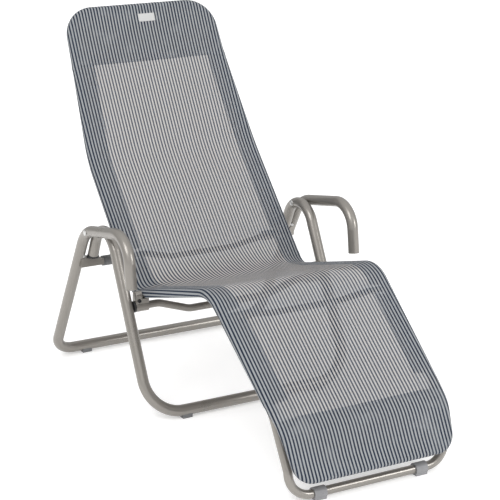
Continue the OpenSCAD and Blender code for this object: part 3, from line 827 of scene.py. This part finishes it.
class Sling:
    """The whole cloth: upper layer, wraps, sleeves and pockets, welded where they meet."""

    def __init__(self, s):
        self.s = s
        self.rows = side_rows(s.bridge)
        self.total = self.rows[-1].along
        self.bm = bmesh.new()
        self.marks = self.bm.verts.layers.float_vector.new(CLOTH_PLACE)
        self.shares = [math.sin(math.pi / 2 * (-1 + 2 * j / COLUMNS)) for j in range(COLUMNS + 1)]
        self.patch([[self.vert(top_point(r, f, s)) for f in self.shares] for r in self.rows])
        for side in (-1, 1):
            self.wrap(side)
            self.sleeve(side)
        self.pocket(0, 1, s.head_pocket)
        self.pocket(len(self.rows) - 1, -1, s.foot_pocket)
        bmesh.ops.remove_doubles(self.bm, verts=self.bm.verts, dist=SAME_PLACE)
        bmesh.ops.recalc_face_normals(self.bm, faces=self.bm.faces)

    def vert(self, pair):
        v = self.bm.verts.new(pair[0])
        v[self.marks] = pair[1]
        return v

    def patch(self, grid, keep=lambda i, j: True):
        """Faces between the corners of a grid, where keep allows them."""
        for i, (a, b) in enumerate(zip(grid, grid[1:])):
            for j in range(len(a) - 1):
                if keep(i, j):
                    self.bm.faces.new((a[j], a[j + 1], b[j + 1], b[j]))

    def slit(self, i):
        """True where the cloth between a row and the next is open."""
        y = (self.rows[i].depth + self.rows[i + 1].depth) / 2
        return any(abs(y - c) < w for c, w in SLITS)

    def wrap(self, side):
        """The cloth round the outside of a side tube."""
        grid = [[self.vert(wrap_point(r, side, a, self.s)) for a in WRAP] for r in self.rows]
        self.patch(grid, lambda i, j: not (self.slit(i) and WRAP[j] >= SLIT_FROM))

    def sleeve(self, side):
        """The lower layer of a side sleeve, from the tube to its seam."""
        s = self.s
        low = s.head_pocket - SLEEVE_OVERLAP
        high = self.total - s.foot_pocket + SLEEVE_OVERLAP
        run = [k for k, r in enumerate(self.rows) if r.corner == 0 and low < r.along < high]
        grid = []
        for k in run:
            r = self.rows[k]
            start = r.half + (r.tube + s.lift) * math.sin(LEAVES)
            stop = r.half + r.tube - s.sleeve
            line = [self.vert(wrap_point(r, side, WRAP[-1], s))]
            for m in range(1, SLEEVE_COLUMNS + 1):
                x = side * (start + (stop - start) * m / SLEEVE_COLUMNS)
                line.append(self.vert(under_point(r, x, self.total, s)))
            grid.append(line)
        self.patch(grid, lambda i, j: not self.slit(run[0] + i))

    def pocket(self, bar, step, deep):
        """The lower layer of an end pocket, from its bar to its seam."""
        s, rows = self.s, self.rows
        home = rows[bar]
        self.patch([[self.vert(over_bar(home, f, a, s)) for f in self.shares] for a in WRAP])
        grid = []
        k = bar
        while abs(rows[k].along - home.along) < deep + POCKET_OVERLAP:
            row = rows[k]
            line = [self.vert(wrap_point(row, -1, WRAP[-1], s))]
            for f in self.shares[1:-1]:
                line.append(self.vert(under_point(row, f * row.half, self.total, s)))
            line.append(self.vert(wrap_point(row, 1, WRAP[-1], s)))
            grid.append(line)
            k += step
        sides = (0, 1, COLUMNS - 2, COLUMNS - 1)
        last = len(rows) - 2
        self.patch(grid, lambda i, j: not (self.slit(min(bar + step * i, last)) and j in sides))


# Operators


# Cloth that goes once round both side tubes or both end bars, over the sewn widths
ROUND_TUBES = 0.07


class LOUNGE_OT_sling(Operator):
    """Striped mesh sling with side sleeves and end pockets"""

    bl_idname = "lounge.sling"
    bl_label = "Sling"

    def execute(self, context):
        s = context.scene.lounge_sling
        sling = Sling(s)
        area = sum(f.calc_area() for f in sling.bm.faces)
        wide = 2 * max(r.half for r in sling.rows) + 2 * s.sleeve + ROUND_TUBES
        tall = sling.total + s.head_pocket + s.foot_pocket + ROUND_TUBES
        piece = new_piece("sling", sling.bm, striped_mesh("striped mesh", s, sling.total))
        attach(piece, "lounger")
        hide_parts("cover")
        max(tall, area / wide)
        return {"FINISHED"}


# Distance between twin lines of stitches, and how far they stand off the cloth
TWIN = 0.004
STAND_OFF = 0.0002


class LOUNGE_OT_seams(Operator):
    """Stitching along the sleeves and pockets"""

    bl_idname = "lounge.seams"
    bl_label = "Seams"

    def execute(self, context):
        s = context.scene.lounge_sling
        rows = side_rows(s.bridge)
        low, high = s.head_pocket, rows[-1].along - s.foot_pocket
        bm = bmesh.new()
        for side in (-1, 1):
            for inset in (0.0, TWIN):
                self.side_seam(bm, rows, side, inset, low, high, s)
        for deep in (low, low - TWIN, high, high + TWIN):
            self.hem(bm, rows, deep, s)
        thread = sewing_thread("sewing thread", context.scene.lounge_finish.seam)
        piece = new_piece("seam_stitching", bm, thread)
        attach(piece, "lounger")
        return {"FINISHED"}

    @staticmethod
    def side_seam(bm, rows, side, inset, low, high, s):
        """One line of stitches along a sleeve, between the two pockets."""
        points, normals = [], []
        for r in rows:
            if r.corner == 0 and low < r.along < high:
                x = r.half + r.tube - s.sleeve + inset
                up = hollow(r, x / r.half, s) + STAND_OFF
                points.append(lie(r, x / r.half, up) + Vector((side * x, 0, 0)))
                normals.append(r.normal)
        stitches(bm, points, normals, s.stitch, s.thread)

    @staticmethod
    def hem(bm, rows, deep, s, points=49):
        """One line of stitches across the cloth, at a distance from the head bar."""
        r = min(rows, key=lambda q: abs(q.along - deep))
        off = r.tangent * (deep - r.along)
        reach = r.half + r.tube - s.sleeve
        line = []
        for i in range(points):
            x = reach * (-1 + 2 * i / (points - 1))
            up = hollow(r, x / r.half, s) + STAND_OFF
            line.append(r.point + off + r.normal * up + Vector((x, 0, 0)))
        stitches(bm, line, [r.normal] * points, s.stitch, s.thread)


# Half the label's height, how finely it is laid out, and how it lies
LABEL_HALF = 0.0115
LABEL_ROWS = 12
LABEL_COLUMNS = 20
LABEL_THICKNESS = 0.0005
LABEL_LIFT = 0.0008
LABEL_CURL = 0.0004
LABEL_RIPPLE = 0.00015
# The line of stitches round it, as a share of its size, and how far they stand off it
EDGING_SHARE = 0.93
EDGING_LIFT = 0.0003


class LOUNGE_OT_label(Operator):
    """Blank woven label sewn on below the head end"""

    bl_idname = "lounge.label"
    bl_label = "Label"

    def execute(self, context):
        finish = context.scene.lounge_finish
        low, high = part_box("name_label")
        wide = (high.x - low.x) / 2
        bm = bmesh.new()
        grid, up = self.laid(bm, (low + high) / 2, wide, context.scene.lounge_sling)
        edge = self.border(grid)
        label = new_piece("label", bm, woven_label("label weave", finish.label))
        thick = label.modifiers.new("thickness", "SOLIDIFY")
        thick.thickness = LABEL_THICKNESS
        thick.offset = -1
        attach(label, "lounger")
        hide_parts("name_label")
        core = sum(edge, Vector()) / len(edge)
        line = [core + (p - core) * EDGING_SHARE + up * EDGING_LIFT for p in edge]
        bm = bmesh.new()
        stitches(bm, line, [up] * len(line), stitch=0.0022, radius=0.0002, gap=0.0009)
        sewn = new_piece("label_stitching", bm, sewing_thread("label thread", finish.edging))
        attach(sewn, "lounger")
        return {"FINISHED"}

    @staticmethod
    def laid(bm, middle, wide, s):
        """Corners of the label on the cloth, its edges a little lower, and the way up."""
        rows = side_rows(s.bridge)
        home = rows[0]
        down = (rows[HEAD_STEPS + 2].point - home.point).normalized()
        up = home.normal
        reach = (middle - home.point).dot(down)
        grid = []
        for i in range(LABEL_ROWS + 1):
            v = -1 + 2 * i / LABEL_ROWS
            far = reach + v * LABEL_HALF
            row = min(rows, key=lambda q: abs((q.point - home.point).dot(down) - far))
            line = []
            for j in range(LABEL_COLUMNS + 1):
                u = -1 + 2 * j / LABEL_COLUMNS
                x = middle.x + u * wide
                curl = LABEL_CURL * max(abs(u), abs(v)) ** 6
                ripple = LABEL_RIPPLE * noise.noise(Vector((u * 2, v * 2, 0)))
                rise = hollow(row, x / row.half, s) + LABEL_LIFT - curl + ripple
                line.append(bm.verts.new(home.point + down * far + up * rise + Vector((x, 0, 0))))
            grid.append(line)
        for a, b in zip(grid, grid[1:]):
            for j in range(LABEL_COLUMNS):
                bm.faces.new((a[j], a[j + 1], b[j + 1], b[j]))
        return grid, up

    @staticmethod
    def border(grid):
        """Places round the edge of a grid, back to the first."""
        right = [line[-1] for line in grid[1:]]
        far = grid[-1][-2::-1]
        left = [line[0] for line in grid[-2::-1]]
        return [v.co.copy() for v in (*grid[0], *right, *far, *left)]


# Heights of heads, the chamfers round them and round a bolt's end, radii of shanks, and the
# least rise in a profile
RIVET_HEAD = 0.003
BOLT_HEAD = 0.005
SCREW_HEAD = 0.004
CHAMFER = 0.0012
END_CHAMFER = 0.0005
SHANK = 0.004
SCREW_SHANK = 0.0025
LEAST_RISE = 0.0002
# Radii of a head's flat face and of the screw's socket, as shares of the head's
FACE_SHARE = 0.62
SOCKET_SHARE = 0.42
SOCKET_DEEP = 0.0018


class LOUNGE_OT_fasteners(Operator):
    """Domed rivets, recline bolts and bracket screws"""

    bl_idname = "lounge.fasteners"
    bl_label = "Fasteners"

    def execute(self, context):
        zinc = zinc_plate("zinc plate", context.scene.lounge_finish.zinc)
        black = black_oxide("black oxide", context.scene.lounge_finish.black)
        for side, hand in ((-1, "left"), (1, "right")):
            self.fold_rivet(side, hand, zinc)
            self.recline_bolt(side, hand, black)
            self.bracket_bolt(hand, black)
        paint(both("stop_rivet"), zinc)
        paint(both("frame_splice"), zinc)
        return {"FINISHED"}

    @staticmethod
    def crosswise(name):
        """A fastener that lies across the frame: its axis, its two ends and its head's radius."""
        low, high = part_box(name)
        middle = Vector((0, (low.y + high.y) / 2, (low.z + high.z) / 2))
        a, b = sorted((abs(low.x), abs(high.x)))
        return middle, a, b, (high.z - low.z) / 2

    def fold_rivet(self, side, hand, zinc):
        middle, a, b, head = self.crosswise("fold_pin_" + hand)
        bm = bmesh.new()
        under = a + RIVET_HEAD
        inner = [(2 * under - t, r) for t, r in reversed(domed(under, head, RIVET_HEAD))]
        shank = [(under + LEAST_RISE / 2, SHANK), (b - RIVET_HEAD - LEAST_RISE / 2, SHANK)]
        outer = domed(b - RIVET_HEAD, head, RIVET_HEAD)
        turned(bm, inner + shank + outer, middle, Vector((side, 0, 0)))
        pin = new_piece("fold_rivet_" + hand, bm, zinc)
        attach(pin, "rear_stand")
        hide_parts("fold_pin_" + hand)

    def recline_bolt(self, side, hand, black):
        middle, a, b, head = self.crosswise("pivot_bolt_" + hand)
        bm = bmesh.new()
        profile = [
            (a, head * FACE_SHARE),
            (a + LEAST_RISE, head - CHAMFER),
            (a + CHAMFER, head),
            (a + BOLT_HEAD - LEAST_RISE, head),
            (a + BOLT_HEAD, SHANK),
            (b - END_CHAMFER, SHANK),
            (b, SHANK - END_CHAMFER),
        ]
        turned(bm, profile, middle, Vector((side, 0, 0)))
        bolt = new_piece("recline_bolt_" + hand, bm, black, smooth=False)
        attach(bolt, "front_stand")
        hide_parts("pivot_bolt_" + hand)

    def bracket_bolt(self, hand, black):
        low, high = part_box("bracket_screw_" + hand)
        middle = Vector(((low.x + high.x) / 2, 0, (low.z + high.z) / 2))
        head = (high.z - low.z) / 2
        forward = Vector((0, -1, 0))
        face = -low.y
        bm = bmesh.new()
        profile = [
            (-high.y, SCREW_SHANK),
            (face - SCREW_HEAD - LEAST_RISE / 2, SCREW_SHANK),
            (face - SCREW_HEAD, head),
            (face - CHAMFER, head),
            (face - LEAST_RISE, head - CHAMFER),
            (face, head * FACE_SHARE),
        ]
        rings = turned(bm, profile, middle, forward, 24)
        self.socket(bm, rings[-1], forward, SOCKET_DEEP, head * SOCKET_SHARE)
        screw = new_piece("bracket_bolt_" + hand, bm, black, smooth=False)
        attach(screw, "lounger")
        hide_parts("bracket_screw_" + hand)

    @staticmethod
    def socket(bm, rim, out, deep, reach):
        """Hexagon socket sunk in the head whose last ring is rim."""
        cap = next(f for f in bm.faces if len(f.verts) > 4 and set(f.verts) == set(rim))
        bmesh.ops.delete(bm, geom=[cap], context="FACES_ONLY")
        core = sum((v.co for v in rim), Vector()) / len(rim)
        mouth, floor = [], []
        for i, v in enumerate(rim):
            d = (v.co - core).normalized()
            a = (2 * math.pi * i / len(rim)) % (math.pi / 3) - math.pi / 6
            p = core + d * reach / math.cos(a)
            mouth.append(bm.verts.new(p))
            floor.append(bm.verts.new(p - out * deep))
        join(bm, rim, mouth)
        join(bm, mouth, floor)
        bm.faces.new(floor)


# A weld bead: its place in from the tube's middle, its gap round the bar, its thickness, how
# closely it follows the tube, its ripples and their height, and how uneven it is
WELD_IN = 0.0105
WELD_GAP = 0.0007
WELD_THICK = 0.0015
WELD_COPE = 0.9
WELD_RIPPLES = 9
WELD_RIPPLE = 0.16
WELD_UNEVEN = 0.1


class LOUNGE_OT_welds(Operator):
    """Weld beads where the crossbars meet the side tubes"""

    bl_idname = "lounge.welds"
    bl_label = "Welds"

    def execute(self, context):
        rows = side_rows(context.scene.lounge_sling.bridge)
        bm = bmesh.new()
        for depth in (LUMBAR_BAR, KNEE_BAR):
            row = min(rows, key=lambda q: abs(q.depth - depth))
            shift = row.tangent * ((depth - row.depth) / row.tangent.y)
            for side in (-1, 1):
                core = row.point + shift + Vector((side * (row.half - WELD_IN), 0, 0))
                inward = Vector((-side, 0, 0))
                self.bead(bm, core, row.normal, row.tangent, inward, CROSSBAR_R + WELD_GAP)
        bead = painted_tube("weld paint", tinted(context.scene.lounge_finish.tube, 0.93))
        piece = new_piece("weld_beads", bm, bead)
        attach(piece, "lounger")
        return {"FINISHED"}

    @staticmethod
    def bead(bm, core, up, along, inward, radius, around=40, sides=8):
        """A rippled bead round a bar that is coped to a tube."""
        rings = []
        for i in range(around):
            a = 2 * math.pi * i / around
            d = up * math.cos(a) + along * math.sin(a)
            fall = FRAME_R - math.sqrt(max(0.0, FRAME_R**2 - (radius * math.cos(a)) ** 2))
            uneven = WELD_UNEVEN * noise.noise(Vector((a * 3, radius * 90, 0)))
            thick = WELD_THICK * (1 + WELD_RIPPLE * math.sin(WELD_RIPPLES * a) + uneven)
            centre = core + d * radius - inward * fall * WELD_COPE
            rings.append(ring(bm, centre, d, inward, thick, sides))
        for a, b in zip(rings, rings[1:] + rings[:1]):
            join(bm, a, b)


class LOUNGE_OT_finishes(Operator):
    """Finishes of the tubes, fittings, pads and plugs"""

    bl_idname = "lounge.finishes"
    bl_label = "Finishes"

    def execute(self, context):
        f = context.scene.lounge_finish
        tubes = ["rear_stand", "front_stand", "back_frame", "leg_frame", "foot_bow"]
        tubes += ["seat_crossbar", "lumbar_crossbar", "knee_crossbar", *both("stop_arm")]
        pads = both("stop_bumper") + both("rear_foot") + both("front_foot")
        dark = both("fold_washer") + both("pivot_washer") + both("tail_plug")
        paint(tubes, painted_tube("tube paint", f.tube))
        paint(both("pivot_bracket"), painted_tube("bracket paint", tinted(f.tube, 1.05)))
        plug = moulded("plug plastic", tinted(f.tube, 0.8), rough=0.45, grain=1400.0)
        paint(both("armrest_plug"), plug)
        paint(pads, moulded("rubber", f.rubber, rough=0.62, grain=1100.0))
        paint(both("foot_clip"), moulded("clip plastic", f.clip, rough=0.5, grain=1500.0))
        paint(dark, moulded("black nylon", f.black, rough=0.5, grain=1300.0))
        return {"FINISHED"}


# What the lights look at, and each light's name, place and size
AIM = Vector((0, -0.05, 0.45))
LIGHTS = (("key", (-2.6, -1.6, 3.4), 2.2), ("rim", (1.9, -2.9, 1.7), 1.2))
FILM_WIDTH = 36.0
FAR = 100.0


class LOUNGE_OT_studio(Operator):
    """Pale floor, soft light and the camera"""

    bl_idname = "lounge.studio"
    bl_label = "Studio"

    def execute(self, context):
        s = context.scene.lounge_studio
        self.lay_floor(s)
        self.set_lights(context.scene, s)
        self.set_camera(context.scene, s)
        context.scene.view_settings.view_transform = "Standard"
        return {"FINISHED"}

    @staticmethod
    def lay_floor(s):
        bm = bmesh.new()
        bmesh.ops.create_grid(bm, x_segments=1, y_segments=1, size=s.floor_size / 2)
        ground = Finish("pale floor", roughness=0.9, emission_strength=s.floor_glow)
        mottle = ground.noise(scale=0.6)
        ground.drive(base_color=ground.mix(mottle, tinted(s.floor, 0.985), s.floor))
        floor = new_piece("studio_floor", bm, ground.material)

    @staticmethod
    def set_lights(scene, s):
        sky = Surround("studio", color=(1, 1, 1, 1))
        scene.world = sky.material
        x, y, z = sky.split(sky.add("ShaderNodeTexCoord", {}, {}, "Generated"))
        sky.drive(strength=s.sky + z.math("MAXIMUM", 0.0) * s.top - x * s.fall - y * s.front)
        for name, place, size in LIGHTS:
            lamp = bpy.data.lights.new(name, "AREA")
            lamp.shape = "SQUARE"
            lamp.size = size
            lamp.energy = getattr(s, name)
            light = bpy.data.objects.new(name, lamp)
            scene.collection.objects.link(light)
            light.location = place
            light.rotation_euler = (AIM - Vector(place)).to_track_quat("-Z", "Y").to_euler()

    @staticmethod
    def set_camera(scene, s):
        lens = bpy.data.cameras.new("camera")
        lens.lens = s.lens
        lens.sensor_width = FILM_WIDTH
        lens.shift_x, lens.shift_y = s.shift
        lens.clip_end = FAR
        camera = bpy.data.objects.new("camera", lens)
        scene.collection.objects.link(camera)
        turn = Matrix.Rotation(-s.yaw, 4, "Z") @ Matrix.Rotation(math.pi / 2 - s.pitch, 4, "X")
        roll = Matrix.Rotation(s.roll, 4, "Z")
        camera.matrix_world = Matrix.Translation(Vector(s.eye)) @ turn @ roll
        scene.camera = camera


# Panel and registration


class LOUNGE_PT_panel(Panel):
    """Settings and steps of the lounge"""

    bl_idname = "LOUNGE_PT_panel"
    bl_label = "Chaise Lounge"
    bl_space_type = "VIEW_3D"
    bl_region_type = "UI"
    bl_category = "Lounge"

    def draw(self, context):
        for title, group, steps in PARTS:
            box = self.layout.box()
            box.label(text=title)
            settings = getattr(context.scene, group)
            for key in GROUPS[group].__annotations__:
                box.prop(settings, key)
            for step in steps:
                box.operator(step.bl_idname)


PARTS = (
    ("Sling", "lounge_sling", (LOUNGE_OT_sling, LOUNGE_OT_seams, LOUNGE_OT_label)),
    ("Finish", "lounge_finish", (LOUNGE_OT_finishes, LOUNGE_OT_fasteners, LOUNGE_OT_welds)),
    ("Studio", "lounge_studio", (LOUNGE_OT_studio,)),
)
GROUPS = {
    "lounge_sling": SlingSettings,
    "lounge_finish": FinishSettings,
    "lounge_studio": StudioSettings,
}
CLASSES = (*GROUPS.values(), *(step for part in PARTS for step in part[2]), LOUNGE_PT_panel)


def register():
    for item in CLASSES:
        bpy.utils.register_class(item)
    for name, group in GROUPS.items():
        setattr(bpy.types.Scene, name, PointerProperty(type=group))


def unregister():
    for name in GROUPS:
        delattr(bpy.types.Scene, name)
    for item in reversed(CLASSES):
        bpy.utils.unregister_class(item)


def main():
    register()
    bpy.ops.lounge.finishes()
    bpy.ops.lounge.sling()
    bpy.ops.lounge.seams()
    bpy.ops.lounge.label()
    bpy.ops.lounge.fasteners()
    bpy.ops.lounge.welds()
    bpy.ops.lounge.studio()


if __name__ == "__main__":
    main()
